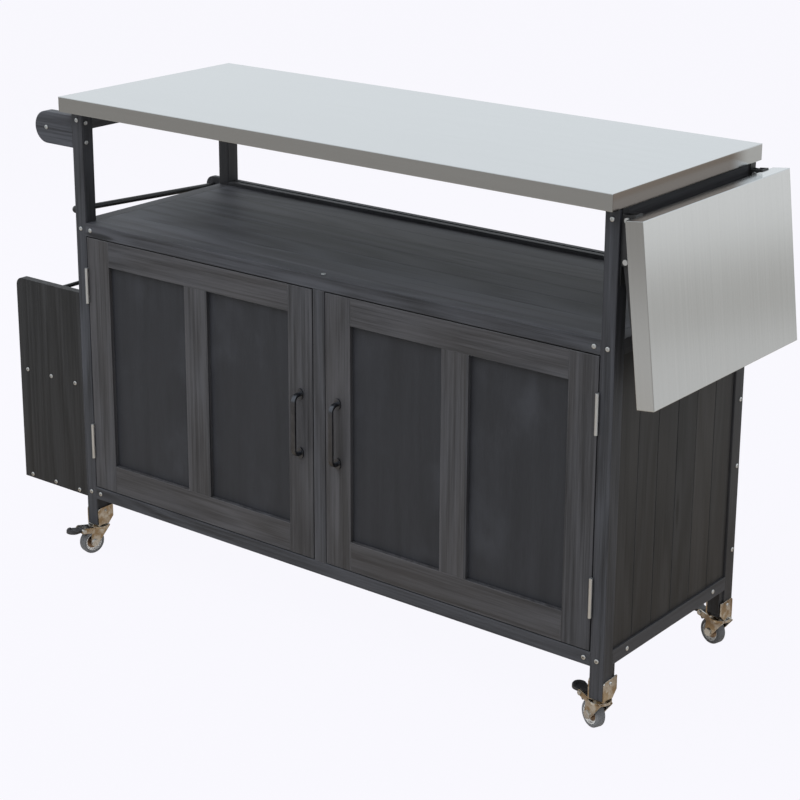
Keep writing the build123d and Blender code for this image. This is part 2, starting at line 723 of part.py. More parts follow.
# The shoe swings into line with the axle when the pedal is pressed
shoe_reach = hypot(brake_back, brake_rise) - wheel_radius - shoe_gap - shoe_radius
shoe_turn = atan2(-brake_rise, -brake_back) + radians(brake_press)
with BuildPart() as caster_brake:
    barrel_half = leg_in - running_gap
    pedal_out = (cos(pedal_slope), 0, sin(pedal_slope))
    pedal_up = (-sin(pedal_slope), 0, cos(pedal_slope))
    pedal_plane = Plane(origin=(brake_x, 0, brake_z), x_dir=pedal_out, z_dir=pedal_up)
    with BuildSketch(pedal_plane.offset(-pedal_plate / 2)) as pedal:
        with Locations((pedal_reach - pedal_radius, 0)):
            Circle(pedal_radius)
        Rectangle(2 * brake_barrel_radius, pedal_neck)
        make_hull()
    extrude(pedal.sketch, amount=pedal_plate)
    with BuildSketch(pedal_plane.offset(pedal_plate / 2)) as tab:
        with Locations((pedal_reach - pedal_radius, 0)):
            Circle(pedal_radius - edge_round)
            Circle(pedal_radius - edge_round - pedal_tab_width, mode=Mode.SUBTRACT)
            with Locations((-pedal_radius, 0)):
                Rectangle(2 * pedal_radius, 2 * pedal_radius, mode=Mode.SUBTRACT)
    extrude(tab.sketch, amount=pedal_tab)
    with BuildSketch(Plane.XZ.offset(-barrel_half)) as shoe:
        with Locations((brake_x, brake_z)):
            Circle(brake_barrel_radius)
        with Locations((brake_x + shoe_reach * cos(shoe_turn), brake_z + shoe_reach * sin(shoe_turn))):
            Circle(shoe_radius)
        make_hull()
    extrude(shoe.sketch, amount=2 * barrel_half)
    rod((brake_x, -barrel_half, brake_z), (0, 1, 0), brake_bore, 2 * barrel_half, Mode.SUBTRACT)

caster_pieces = {
    "tyre": caster_tyre,
    "rim": caster_rim,
    "fork": caster_fork,
    "bolts": caster_bolts,
    "brake": caster_brake,
}
for corner, (x, y) in corners.items():
    place = Location((x, y, 0), (0, 0, headings[corner]))
    for piece, local in caster_pieces.items():
        save(f"{corner}_caster_{piece}", local.part.moved(place))

# Screw heads that show: front and back alike, then the sides and the shelf rail
with BuildPart() as frame_screws:
    rail_middles = [rail_base + rail_height / 2, shelf_top - rail_height / 2]
    rack_screw_x = [rack_out + rack_screw_inset, (rack_out + x_left) / 2, x_left - rack_screw_inset]
    post_middles = [(x_left + x_left_in) / 2, (x_right + x_right_in) / 2]
    rail_ends = [x_left_in + screw_inset, x_right_in - screw_inset]
    spots = [(x, z) for x in post_middles for z in [*rail_middles, frame_top - top_rail_height / 2]]
    spots += [(x, z) for x in rail_ends for z in rail_middles]
    spots += [(x, z) for x in rack_screw_x for z in rack_shelf_middles]
    spots.append((grip_x, grip_z))
    for x, z in spots:
        on_arm = x < towel_arm_end and abs(z - towel_z) < towel_arm_height / 2
        behind = y_back + towel_arm_thickness if on_arm else y_back
        rod((x, y_front, z), (0, -1, 0), screw_radius, screw_head)
        rod((x, behind, z), (0, 1, 0), screw_radius, screw_head)
    for y in (y_front + arm_thickness / 2, y_back - arm_thickness / 2):
        for z in (arm_top - screw_inset, arm_top - arm_height + screw_inset):
            rod((x_left_in, y, z), (1, 0, 0), screw_radius, screw_head)
    for y in (y_front_in + side_screw_inset, y_back_in - side_screw_inset):
        rod((x_right, y, rail_middles[0]), (1, 0, 0), screw_radius, screw_head)
    for rise in plank_screw_rises:
        rod((x_right, y_back - plank_screw_inset, rail_top + rise), (1, 0, 0), screw_radius, screw_head)
    for corner, (x, y) in corners.items():
        for side in (-1, 1):
            seat_y = y + inward[corner] * socket_over / 2
            seat = (x + side * cheek_out, seat_y, post_foot + socket_height - socket_screw_drop)
            rod(seat, (side, 0, 0), socket_screw_radius, screw_head)
    rod((x_mid, y_front + post_depth / 2, shelf_top), (0, 0, 1), screw_radius, screw_head)
save("frame_screws", frame_screws.part)
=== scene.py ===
"""Looks of the rolling outdoor kitchen cart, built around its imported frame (metres, +Z up)."""

import json
import math

import bmesh
import bpy
from mathutils import Matrix, Vector


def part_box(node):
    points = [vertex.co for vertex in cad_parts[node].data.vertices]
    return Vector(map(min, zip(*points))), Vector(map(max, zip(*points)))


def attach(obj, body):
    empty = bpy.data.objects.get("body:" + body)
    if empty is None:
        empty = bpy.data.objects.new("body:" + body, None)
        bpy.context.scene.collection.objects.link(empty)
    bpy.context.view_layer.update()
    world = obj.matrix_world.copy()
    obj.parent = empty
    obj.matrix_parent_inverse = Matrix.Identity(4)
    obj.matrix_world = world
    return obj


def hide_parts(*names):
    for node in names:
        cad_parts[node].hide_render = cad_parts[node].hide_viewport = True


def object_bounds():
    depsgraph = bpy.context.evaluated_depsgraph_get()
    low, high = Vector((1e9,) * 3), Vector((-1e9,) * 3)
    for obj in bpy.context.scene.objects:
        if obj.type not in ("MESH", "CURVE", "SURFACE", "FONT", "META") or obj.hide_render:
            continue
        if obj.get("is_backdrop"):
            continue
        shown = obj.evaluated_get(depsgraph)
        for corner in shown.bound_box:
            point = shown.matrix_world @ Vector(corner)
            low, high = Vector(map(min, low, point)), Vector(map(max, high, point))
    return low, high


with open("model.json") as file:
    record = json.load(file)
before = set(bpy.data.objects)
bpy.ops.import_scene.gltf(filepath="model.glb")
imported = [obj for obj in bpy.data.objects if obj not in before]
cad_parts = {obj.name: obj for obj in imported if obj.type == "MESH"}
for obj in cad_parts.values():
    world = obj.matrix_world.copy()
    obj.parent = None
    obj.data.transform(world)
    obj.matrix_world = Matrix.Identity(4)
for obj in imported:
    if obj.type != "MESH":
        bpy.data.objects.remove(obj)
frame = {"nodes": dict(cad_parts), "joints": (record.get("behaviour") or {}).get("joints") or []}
cad_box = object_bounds()
nodes = frame["nodes"]
joints = {joint["name"]: joint for joint in frame["joints"]}
CORNERS = ("front_left", "front_right", "back_left", "back_right")

# Camera, measured from the floor under the middle of the worktop
CAMERA_PLACE = Vector((2.160, -2.740, 1.621))
CAMERA_TURN = 0.6633
CAMERA_TILT = -0.2920
CAMERA_ROLL = 0.0050
CAMERA_LENS = 91.37
CAMERA_SENSOR = 36.0
CAMERA_SHIFT = -0.12

# Colours, linear
BLACK_STAIN = (0.0298, 0.0318, 0.0380)
DOOR_STAIN = (0.0322, 0.0332, 0.0382)
PLANK_STAIN = (0.0155, 0.0158, 0.0172)
PLY_STAIN = (0.0202, 0.0214, 0.0258)
BROWN_UNDER_STAIN = (0.058, 0.047, 0.037)
RUBBED_EDGE = (0.120, 0.124, 0.132)
STEEL = (0.640, 0.655, 0.665)
# Painted brown reflection for the right end of the worktop's rim
STEEL_PAINTED_REFLECTION = (0.225, 0.182, 0.152)
ZINC = (0.690, 0.705, 0.715)
ZINC_TARNISH = (0.410, 0.330, 0.235)
POWDER_BLACK = (0.016, 0.0165, 0.018)
HANDLE_BLACK = (0.105, 0.110, 0.124)
MOULDED_BLACK = (0.028, 0.028, 0.031)
TYRE_GREY = (0.135, 0.140, 0.150)
RIM_WHITE = (0.800, 0.800, 0.790)
# Rim dish: real plating, with a dark brown that is partly painted reflection
RIM_DISH_PLATE_AND_REFLECTION = (0.330, 0.245, 0.185)
STUDIO_WHITE = (0.947, 0.939, 0.991)
STUDIO_MIRROR = (0.852, 0.895, 0.925)

# Softened edges, metres
TIMBER_EDGE = 0.0018
PLY_EDGE = 0.0012
STEEL_FOLD = 0.0016
ZINC_EDGE = 0.0007
COAT_EDGE = 0.0008
HANDLE_EDGE = 0.0006
RIM_EDGE = 0.0006

# Boards, metres and counts
SHELF_BOARDS = 6
SIDE_PLANKS = 6
BACK_PLANKS = 18
PANEL_TONGUE = 0.006
STILE_CELL = 0.15
RAIL_CELL = 0.25
RAIL_SEED = 7.0
LEVEL_STEP = 0.25
FAR_OUT = 50.0

# Painted brown reflection on the right end of the worktop: depth of its skin, and where the painted
# reflection fades, measured from the back
END_SKIN = 0.0004
REFLECTION_FADE_FROM = 0.11
REFLECTION_FADE_TO = 0.04

# Wheel rim: radius of the plated dish and half the width of its soft border
DISH_RADIUS = 0.0131
DISH_BORDER = 0.0003

# Screw heads, as shares of the head's radius or height
HEAD_SIDES = 24
HEAD_PROFILE = ((1.0, 0.0), (1.0, 0.45), (0.92, 0.75), (0.74, 0.93), (0.56, 1.0))
RECESS_ARM = 0.46
RECESS_HALF_WIDTH = 0.12
RECESS_DEPTH = 0.6

# Studio values
AMBIENT = 0.60
FLOOR_RADIUS = 60.0
FLOOR_SIDES = 96
FLOOR_DIFFUSE = 0.80
FLOOR_GLOW = 0.99
COOL_LIGHT = (0.97, 0.985, 1.0)
PLAIN_LIGHT = (1.0, 1.0, 1.0)
WARM_LIGHT = (1.0, 0.985, 0.96)
AIM_HEIGHT = 0.55

# What the bright metal mirrors of the studio floor: brown near, grey beyond, a darker band behind
MIRROR_BROWN = (0.400, 0.320, 0.240)
MIRROR_CREAM = (0.700, 0.640, 0.540)
MIRROR_DEEP = (0.170, 0.125, 0.090)
MIRROR_GREY = (0.660, 0.655, 0.640)
MIRROR_BAND = (0.500, 0.490, 0.465)
MIRROR_FAR = (0.860, 0.860, 0.850)
MIRROR_FRONT = (0.520, 0.510, 0.490)
MIRROR_FRONT_FAR = (0.300, 0.285, 0.265)


class Wire:
    """An output socket that takes part in plain arithmetic."""

    def __init__(self, finish, socket):
        self.finish = finish
        self.socket = socket

    def __add__(self, other):
        return self.finish.math("ADD", self, other)

    def __radd__(self, other):
        return self.finish.math("ADD", other, self)

    def __sub__(self, other):
        return self.finish.math("SUBTRACT", self, other)

    def __rsub__(self, other):
        return self.finish.math("SUBTRACT", other, self)

    def __mul__(self, other):
        return self.finish.math("MULTIPLY", self, other)

    def __rmul__(self, other):
        return self.finish.math("MULTIPLY", other, self)

    def __truediv__(self, other):
        return self.finish.math("DIVIDE", self, other)

    def __gt__(self, other):
        return self.finish.math("GREATER_THAN", self, other)

    def __lt__(self, other):
        return self.finish.math("LESS_THAN", self, other)


class Finish:
    """One material, or the world, with a method that makes any node in it."""

    def __init__(self, name, holder=None):
        self.holder = holder or bpy.data.materials.new(name)
        self.holder.use_nodes = True
        self.tree = self.holder.node_tree
        self.tree.nodes.clear()

    def node(self, kind, settings, inputs, outlet=0):
        made = self.tree.nodes.new(kind)
        for key, value in settings.items():
            setattr(made, key, value)
        for key, value in inputs.items():
            if isinstance(value, Wire):
                self.tree.links.new(value.socket, made.inputs[key])
            else:
                made.inputs[key].default_value = value
        return None if outlet is None else Wire(self, made.outputs[outlet])

    def math(self, operation, *values):
        return self.node("ShaderNodeMath", {"operation": operation}, dict(enumerate(values)))

    def place(self):
        """The piece's own coordinates as three wires."""
        spot = self.node("ShaderNodeTexCoord", {}, {}, "Object")
        return [self.node("ShaderNodeSeparateXYZ", {}, {0: spot}, axis) for axis in range(3)]

    def vector(self, x, y, z):
        return self.node("ShaderNodeCombineXYZ", {}, {0: x, 1: y, 2: z})

    def noise(self, spot, detail, rough):
        inputs = {"Vector": spot, "Scale": 1.0, "Detail": detail, "Roughness": rough}
        return self.node("ShaderNodeTexNoise", {}, inputs)

    def cell_distance(self, spot, scale):
        """How far a point is from the middle of its cell."""
        return self.node("ShaderNodeTexVoronoi", {"feature": "F1"}, {"Vector": spot, "Scale": scale})

    def dice(self, spot):
        """A number from 0 to 1 that is the same all over one cell."""
        return self.node("ShaderNodeTexWhiteNoise", {"noise_dimensions": "3D"}, {"Vector": spot})

    def band(self, value, low, high):
        """0 below low, 1 above high, smooth between."""
        settings = {"interpolation_type": "SMOOTHSTEP"}
        return self.node("ShaderNodeMapRange", settings, {0: value, 1: low, 2: high})

    def vector_math(self, operation, first, second, outlet=0):
        settings = {"operation": operation}
        return self.node("ShaderNodeVectorMath", settings, {0: first, 1: second}, outlet)

    def mix(self, share, first, second):
        """Colour between two colours."""
        first = first if isinstance(first, Wire) else (*first, 1.0)
        second = second if isinstance(second, Wire) else (*second, 1.0)
        return self.node("ShaderNodeMix", {"data_type": "RGBA"}, {0: share, 6: first, 7: second}, 2)

    def eased(self, radius):
        """Normal of a slightly rounded edge, and how much of an edge it is."""
        rounded = self.node("ShaderNodeBevel", {"samples": 4}, {"Radius": radius})
        flat = self.node("ShaderNodeNewGeometry", {}, {}, "Normal")
        facing = self.vector_math("DOT_PRODUCT", rounded, flat, "Value")
        return rounded, self.band(1.0 - facing, 0.01, 0.22)

    def bump(self, height, strength, distance, normal):
        inputs = {"Height": height, "Strength": strength, "Distance": distance, "Normal": normal}
        return self.node("ShaderNodeBump", {}, inputs)

    def output(self, shader):
        end = "World" if isinstance(self.holder, bpy.types.World) else "Material"
        self.node(f"ShaderNodeOutput{end}", {}, {0: shader}, None)

    def surface(self, inputs):
        self.output(self.node("ShaderNodeBsdfPrincipled", {}, inputs))
        return self.holder


def shade(colour, share):
    return tuple(share * part for part in colour)


# Finishes


def stained_timber(name, stain, along, cells, brown, figure=1.0):
    """Black-stained softwood: fibres, growth rings, knots and rubbed edges, each board its own.

    along gives the wires of a board's length, width and thickness; cells gives its seed vector.
    """
    finish = Finish(name)
    x, y, z = finish.place()
    seed = finish.dice(cells(finish, x, y, z))
    length, width, depth = along(x, y, z)
    length = length + seed * 9.0
    width = width + seed * 3.0
    streak = finish.noise(finish.vector(length * 2.2, width * 190.0, depth * 190.0), 4.0, 0.68)
    fibre = finish.noise(finish.vector(length * 22.0, width * 700.0, depth * 700.0), 2.0, 0.6)
    slow = finish.noise(finish.vector(length * 1.1, width * 10.0, depth * 10.0), 1.0, 0.4)
    rings = finish.math("PINGPONG", slow * 17.0 + streak * 0.9, 1.0)
    cloud = finish.noise(finish.vector(length * 3.0, width * 9.0, depth * 9.0), 3.0, 0.6)
    knot_far = finish.cell_distance(finish.vector(length * 1.9, width * 13.0, depth * 13.0), 1.0)
    knot = 1.0 - finish.band(knot_far, 0.035, 0.085)
    halo = finish.band(knot_far, 0.05, 0.10) * (1.0 - finish.band(knot_far, 0.10, 0.22))
    rounded, edge = finish.eased(TIMBER_EDGE)
    light = streak * 0.75 + rings * 0.16 * figure + fibre * 0.30 + halo * 0.22
    light = finish.band(light, 0.30, 0.90)
    colour = finish.mix(light, shade(stain, 0.45), shade(stain, 1.75))
    brown_share = finish.band(cloud * 0.6 + streak * 0.4 + seed * 0.30, 0.44, 0.86) * brown
    colour = finish.mix(brown_share, colour, BROWN_UNDER_STAIN)
    colour = finish.mix(knot * 0.75, colour, shade(stain, 0.35))
    board_tone = 0.84 + seed * 0.32
    settings = {"operation": "SCALE"}
    colour = finish.node("ShaderNodeVectorMath", settings, {0: colour, "Scale": board_tone})
    rub = edge * finish.band(cloud + fibre * 0.4, 0.40, 0.85)
    colour = finish.mix(rub * 0.75, colour, RUBBED_EDGE)
    relief = fibre * 0.5 + rings * 0.35 * figure + streak * 0.5
    normal = finish.bump(relief, 0.35, 0.0006, rounded)
    roughness = 0.50 + streak * 0.16 - edge * 0.08
    return finish.surface({
        "Base Color": colour, "Roughness": roughness, "Specular IOR Level": 0.32, "Normal": normal,
    })


def stained_ply(name, stain, upright=True):
    """Stained plywood: a flatter, finer figure with hazy rubbed patches."""
    finish = Finish(name)
    x, y, z = finish.place()
    length, width = (z, x) if upright else (x, y)
    depth = y if upright else z
    figure = finish.noise(finish.vector(length * 3.2, width * 42.0, depth * 42.0), 4.0, 0.6)
    pores = finish.noise(finish.vector(length * 45.0, width * 700.0, depth * 700.0), 2.0, 0.6)
    haze = finish.noise(finish.vector(length * 5.0, width * 6.5, depth * 6.5), 4.0, 0.62)
    rounded, _ = finish.eased(PLY_EDGE)
    light = finish.band(figure * 0.6 + pores * 0.35, 0.25, 0.80)
    colour = finish.mix(light, shade(stain, 0.78), shade(stain, 1.22))
    colour = finish.mix(finish.band(haze, 0.48, 0.76) * 0.42, colour, shade(stain, 2.3))
    normal = finish.bump(figure * 0.4 + pores * 0.5, 0.25, 0.0003, rounded)
    roughness = 0.52 + haze * 0.18
    return finish.surface({
        "Base Color": colour, "Roughness": roughness, "Specular IOR Level": 0.30, "Normal": normal,
    })


def brushed_steel(name, brush, lean=0.0, end=None):
    """Brushed stainless sheet; brush names the axis the lines run along, lean tips them about Y.

    end gives the box of a sheet whose right end gets a painted brown reflection, apart from its back
    corner.
    """
    finish = Finish(name)
    spot = finish.node("ShaderNodeTexCoord", {}, {}, "Object")
    turned = finish.node("ShaderNodeMapping", {}, {"Vector": spot, "Rotation": (0.0, lean, 0.0)})
    axes = [finish.node("ShaderNodeSeparateXYZ", {}, {0: turned}, axis) for axis in range(3)]
    long_axis = axes.pop("XYZ".index(brush))
    first, second = axes
    hair = finish.noise(finish.vector(long_axis * 5.0, first * 1500.0, second * 1500.0), 3.0, 0.6)
    lines = finish.noise(finish.vector(long_axis * 1.6, first * 260.0, second * 260.0), 3.0, 0.65)
    smear = finish.noise(finish.vector(long_axis * 4.0, first * 6.0, second * 6.0), 3.0, 0.55)
    rounded, edge = finish.eased(STEEL_FOLD)
    light = finish.band(hair * 0.5 + lines * 0.5, 0.25, 0.75)
    colour = finish.mix(light, shade(STEEL, 0.965), shade(STEEL, 1.03))
    colour = finish.mix(finish.band(smear, 0.50, 0.80) * 0.08, colour, shade(STEEL, 0.90))
    # Painted reflection: the right end face turns brown, fading out towards the back corner
    if end:
        x, y, _ = finish.place()
        right, back = end[1].x, end[1].y
        fade = finish.band(y, back - REFLECTION_FADE_FROM, back - REFLECTION_FADE_TO)
        painted_reflection_mask = (x > right - END_SKIN) * (1.0 - fade)
        colour = finish.mix(painted_reflection_mask * 0.92, colour, STEEL_PAINTED_REFLECTION)
    # Painted reflection: folds and edges darkened, standing for the dark line they mirror
    colour = finish.mix(edge * 0.6, colour, shade(STEEL, 0.45))
    normal = finish.bump(hair * 0.6 + lines * 0.4, 0.06, 0.0001, rounded)
    roughness = 0.115 + lines * 0.035 + smear * 0.03
    return finish.surface({"Base Color": colour, "Metallic": 1.0, "Roughness": roughness, "Normal": normal})


def bright_zinc(name, tarnish, rough):
    """Zinc plate, mottled with a warm passivated tint; a tarnish over 1 fills out its patches."""
    finish = Finish(name)
    x, y, z = finish.place()
    spangle = finish.cell_distance(finish.vector(x, y, z), 420.0)
    stain = finish.noise(finish.vector(x * 60.0, y * 60.0, z * 60.0), 3.0, 0.6)
    scuff = finish.noise(finish.vector(x * 900.0, y * 900.0, z * 300.0), 2.0, 0.6)
    rounded, edge = finish.eased(ZINC_EDGE)
    share = finish.band(stain, 0.30, 0.75) * tarnish
    colour = finish.mix(share, ZINC, ZINC_TARNISH)
    colour = finish.mix(edge * 0.4, colour, shade(ZINC, 1.3))
    normal = finish.bump(scuff, 0.10, 0.0002, rounded)
    roughness = rough + spangle * 0.10 + stain * 0.10
    return finish.surface({"Base Color": colour, "Metallic": 1.0, "Roughness": roughness, "Normal": normal})


def coated(name, colour, gloss, grain, wear):
    """Powder coat, moulded plastic or rubber: fine grain, and edges that show their handling."""
    finish = Finish(name)
    x, y, z = finish.place()
    peel = finish.noise(finish.vector(x * grain, y * grain, z * grain), 3.0, 0.6)
    dust = finish.noise(finish.vector(x * 35.0, y * 35.0, z * 35.0), 4.0, 0.6)
    rounded, edge = finish.eased(COAT_EDGE)
    tint = finish.mix(finish.band(dust, 0.40, 0.80), shade(colour, 0.88), shade(colour, 1.20))
    tint = finish.mix(edge * wear, tint, tuple(min(1.0, part * 1.5 + 0.03) for part in colour))
    normal = finish.bump(peel, 0.25, 0.0003, rounded)
    roughness = gloss + peel * 0.12 + dust * 0.06
    return finish.surface({"Base Color": tint, "Roughness": roughness, "Normal": normal})


def satin_black(name, colour):
    """Blackened metal with a soft sheen."""
    finish = Finish(name)
    x, y, z = finish.place()
    cloud = finish.noise(finish.vector(x * 90.0, y * 90.0, z * 60.0), 3.0, 0.6)
    peel = finish.noise(finish.vector(x * 900.0, y * 900.0, z * 900.0), 2.0, 0.6)
    rounded, edge = finish.eased(HANDLE_EDGE)
    tint = finish.mix(finish.band(cloud, 0.35, 0.75), shade(colour, 0.85), shade(colour, 1.12))
    tint = finish.mix(edge * 0.4, tint, shade(colour, 1.5))
    normal = finish.bump(peel, 0.15, 0.0002, rounded)
    roughness = 0.26 + cloud * 0.10
    return finish.surface({"Base Color": tint, "Metallic": 1.0, "Roughness": roughness, "Normal": normal})


def wheel_rim(corner):
    """White moulded rim round a plated dish, whose dark brown is partly painted reflection."""
    finish = Finish(f"{corner}_rim")
    axle = joints[f"{corner}_roll"]
    spot = finish.node("ShaderNodeTexCoord", {}, {}, "Object")
    away = finish.vector_math("SUBTRACT", spot, axle["pos_m"])
    across = finish.vector_math("CROSS_PRODUCT", away, axle["axis"])
    far = finish.node("ShaderNodeVectorMath", {"operation": "LENGTH"}, {0: across}, "Value")
    dish = 1.0 - finish.band(far, DISH_RADIUS - DISH_BORDER, DISH_RADIUS + DISH_BORDER)
    x, y, z = finish.place()
    grime = finish.noise(finish.vector(x * 120.0, y * 120.0, z * 120.0), 3.0, 0.6)
    white = finish.mix(finish.band(grime, 0.40, 0.80), RIM_WHITE, shade(RIM_WHITE, 0.82))
    # Dish colour: plated metal, its dark brown partly painted reflection
    plated = finish.mix(finish.band(grime, 0.30, 0.70), RIM_DISH_PLATE_AND_REFLECTION, shade(RIM_DISH_PLATE_AND_REFLECTION, 0.55))
    rounded, _ = finish.eased(RIM_EDGE)
    return finish.surface({
        "Base Color": finish.mix(dish, white, plated), "Metallic": dish,
        "Roughness": 0.34 + grime * 0.08, "Normal": rounded,
    })


def board_cells(low=3 * (-FAR_OUT,), size=3 * (2 * FAR_OUT,)):
    """Seed of a board from the cell it stands in; by default all boards share one."""
    def cells(finish, x, y, z):
        spots = zip((x, y, z), low, size)
        return finish.vector(*[finish.math("FLOOR", (spot - start) / step) for spot, start, step in spots])
    return cells


def run_x(x, y, z):
    return x, y, z


def run_y(x, y, z):
    return y, x, z


def run_z(x, y, z):
    return z, x, y


def door_timber(name, side):
    """Door frame: upright stiles, level rails between them."""
    low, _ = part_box(f"{side}_door_frame")
    panel_low, panel_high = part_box(f"{side}_door_panel")
    left, right = panel_low.x + PANEL_TONGUE, panel_high.x - PANEL_TONGUE
    sill, head = panel_low.z + PANEL_TONGUE, panel_high.z - PANEL_TONGUE

    def level(x, z):
        between = (x > left) * (x < right)
        return between * ((z < sill) + (z > head))

    def along(x, y, z):
        rail = level(x, z)
        return z + (x - z) * rail, x + (z - x) * rail, y

    def cells(finish, x, y, z):
        rail = level(x, z)
        upright = finish.math("FLOOR", (x - low.x) / STILE_CELL)
        lying = finish.math("FLOOR", (z - low.z) / RAIL_CELL) + RAIL_SEED
        return finish.vector(upright + (lying - upright) * rail, 0.0, 0.0)

    return stained_timber(name, DOOR_STAIN, along, cells, 0.20)


def boards(node, axis, count, ends_apart=False):
    """Cells of equal boards side by side along one axis; ends_apart parts the cart's two ends."""
    low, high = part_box(node)
    start = 3 * [-FAR_OUT]
    size = 3 * [2 * FAR_OUT]
    if ends_apart:
        start[0] = 0.0
    start[axis] = low[axis]
    size[axis] = (high[axis] - low[axis]) / count
    return board_cells(start, size)


# Left and right, front and back apart; then rails across and along the cart, one above the other
HALVES = board_cells((0.0, 0.0, 0.0), (FAR_OUT, FAR_OUT, FAR_OUT))
LEVELS = board_cells((0.0, -FAR_OUT, 0.0), (FAR_OUT, 2 * FAR_OUT, LEVEL_STEP))
LONG_LEVELS = board_cells((-FAR_OUT, 0.0, 0.0), (2 * FAR_OUT, FAR_OUT, LEVEL_STEP))
leaf_joint = joints["leaf_hinge"]
leaf_lean = math.radians(90.0 - leaf_joint["range_deg"][1])

finishes = {
    "worktop_skin": brushed_steel("worktop_steel", "X", 0.0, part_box("worktop_skin")),
    "leaf_skin": brushed_steel("leaf_steel", "Z", leaf_lean),
    "worktop_core": stained_timber("core_timber", BLACK_STAIN, run_x, board_cells(), 0.1),
    "front_posts": stained_timber("front_post_timber", BLACK_STAIN, run_z, HALVES, 0.20),
    # Painted shade: the back posts' stain is darkened to 0.70 for the shade they stand in
    "back_posts": stained_timber("back_post_painted_shade_timber", shade(BLACK_STAIN, 0.70), run_z, HALVES, 0.20),
    "cross_rails": stained_timber("cross_rail_timber", BLACK_STAIN, run_y, LEVELS, 0.20),
    "long_rails": stained_timber("long_rail_timber", BLACK_STAIN, run_x, LONG_LEVELS, 0.12),
    "back_ledge": stained_timber("ledge_timber", BLACK_STAIN, run_x, board_cells(), 0.12),
    "shelf_slats": stained_timber(
        "shelf_timber", BLACK_STAIN, run_x, boards("shelf_slats", 1, SHELF_BOARDS), 0.10, 1.6),
    "centre_post": stained_timber("centre_post_timber", BLACK_STAIN, run_z, board_cells(), 0.15),
    "side_planks": stained_timber(
        "side_plank_timber", PLANK_STAIN, run_z, boards("side_planks", 1, SIDE_PLANKS, True), 0.16),
    "back_planks": stained_timber(
        "back_plank_timber", PLANK_STAIN, run_z, boards("back_planks", 0, BACK_PLANKS), 0.16),
    "cabinet_floor": stained_ply("floor_ply", PLY_STAIN, False),
    "left_door_frame": door_timber("left_door_timber", "left"),
    "right_door_frame": door_timber("right_door_timber", "right"),
    "left_door_panel": stained_ply("door_ply", PLY_STAIN),
    "handle_arms": stained_timber("arm_timber", shade(BLACK_STAIN, 1.35), run_x, HALVES, 0.15),
    "handle_grip": stained_timber("grip_timber", BLACK_STAIN, run_y, board_cells(), 0.15),
    "rack_panels": stained_timber("rack_panel_timber", PLANK_STAIN, run_z, HALVES, 0.16),
    "rack_shelves": stained_timber("rack_shelf_timber", PLANK_STAIN, run_y, LEVELS, 0.16),
    "towel_rod": coated("powder_coat", POWDER_BLACK, 0.34, 900.0, 0.35),
    "left_door_handle": satin_black("handle_metal", HANDLE_BLACK),
    "hinge_pins": bright_zinc("hinge_zinc", 0.05, 0.34),
    "caster_sockets": bright_zinc("caster_zinc", 1.60, 0.12),
    "front_left_caster_tyre": coated("tyre_rubber", TYRE_GREY, 0.58, 700.0, 0.20),
    "door_catches": coated("moulded_plastic", MOULDED_BLACK, 0.42, 600.0, 0.30),
}
same_finish = {
    "leaf_core": "worktop_core",
    "right_door_panel": "left_door_panel",
    # Towel arm takes the back posts' darkened stain, which is painted shade
    "towel_arm": "back_posts",
    "rack_rods": "towel_rod",
    "right_door_handle": "left_door_handle",
    "bracket_wall_plates": "towel_rod",
    "leaf_channels": "towel_rod",
    "leaf_struts": "towel_rod",
    "hinge_post_leaves": "hinge_pins",
    "left_door_hinge_leaves": "hinge_pins",
    "right_door_hinge_leaves": "hinge_pins",
    "bracket_pins": "hinge_pins",
    "frame_screws": "hinge_pins",
    "caster_kingpins": "caster_sockets",
    # Leg blocks take the back posts' darkened stain, which is painted shade
    "leg_blocks": "back_posts",
}
for corner in CORNERS:
    same_finish[f"{corner}_caster_tyre"] = "front_left_caster_tyre"
    finishes[f"{corner}_caster_rim"] = wheel_rim(corner)
    same_finish[f"{corner}_caster_fork"] = "caster_sockets"
    same_finish[f"{corner}_caster_bolts"] = "hinge_pins"
    same_finish[f"{corner}_caster_brake"] = "door_catches"


def finish_of(node):
    return finishes[node] if node in finishes else finishes[same_finish[node]]


for node, piece in nodes.items():
    piece.data.materials.clear()
    piece.data.materials.append(finish_of(node))


# Screw heads


def islands(shape):
    """Groups of joined corners of a mesh."""
    left = set(shape.verts)
    while left:
        group = [left.pop()]
        for corner in group:
            for edge in corner.link_edges:
                other = edge.other_vert(corner)
                if other in left:
                    left.remove(other)
                    group.append(other)
        yield group


def screw_seats():
    """Seat, outward direction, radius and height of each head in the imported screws."""
    shape = bmesh.new()
    shape.from_mesh(nodes["frame_screws"].data)
    bmesh.ops.remove_doubles(shape, verts=shape.verts, dist=1e-6)
    swivels = [joints[f"{corner}_swivel"]["pos_m"] for corner in CORNERS]
    for group in islands(shape):
        low = Vector([min(corner.co[axis] for corner in group) for axis in range(3)])
        high = Vector([max(corner.co[axis] for corner in group) for axis in range(3)])
        size = high - low
        thin = min(range(3), key=lambda axis: size[axis])
        centre = (low + high) / 2
        side = 1.0
        if thin == 1 and centre.y < middle.y:
            side = -1.0
        if thin == 0 and centre.z < lowest_rail:
            nearest = min(swivels, key=lambda place: (Vector(place).xy - centre.xy).length)
            side = math.copysign(1.0, centre.x - nearest[0])
        out = Vector()
        out[thin] = side
        yield centre - out * size[thin] / 2, out, max(size) / 2, size[thin]
    shape.free()


